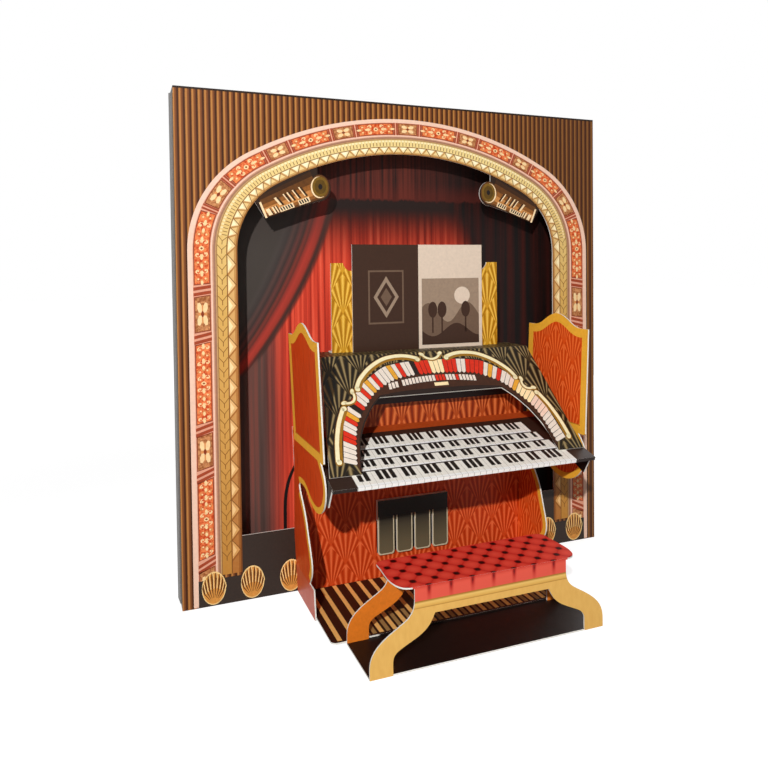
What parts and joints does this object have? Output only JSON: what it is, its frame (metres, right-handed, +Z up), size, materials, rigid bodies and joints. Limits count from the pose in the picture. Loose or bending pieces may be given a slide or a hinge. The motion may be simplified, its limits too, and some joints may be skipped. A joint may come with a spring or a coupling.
{
  "type": "pop-up greeting card",
  "caption": "Pop-up greeting card in printed card: a theatre organ console with pedalboard and bench before an arched stage front and a red curtain.",
  "frame": {"origin": "middle of the card's footprint on the table", "axes": "+X to the viewer's right, +Y from the bench to the backdrop, +Z up"},
  "size_m": [0.159, 0.068, 0.165],
  "materials": {
    "stage_print": "satin",
    "curtain_print": "satin",
    "console_print": "satin",
    "swell_print": "satin",
    "pedal_print": "satin",
    "bench_print": "satin",
    "desk_print": "satin",
    "rail_print": "satin",
    "rest_print": "satin",
    "sheet_print": "matte"
  },
  "bodies": {
    "root": {"proscenium": "stage_print", "backdrop": "curtain_print", "left_cheek": "console_print", "right_cheek": "console_print", "kneeboard": "console_print", "swell_pedals": "swell_print", "pedalboard": "pedal_print", "bench": "bench_print", "key_desk": "desk_print", "stop_rail": "rail_print", "music_rest": "rest_print", "song_sheet": "sheet_print"}
  },
  "joints": []
}
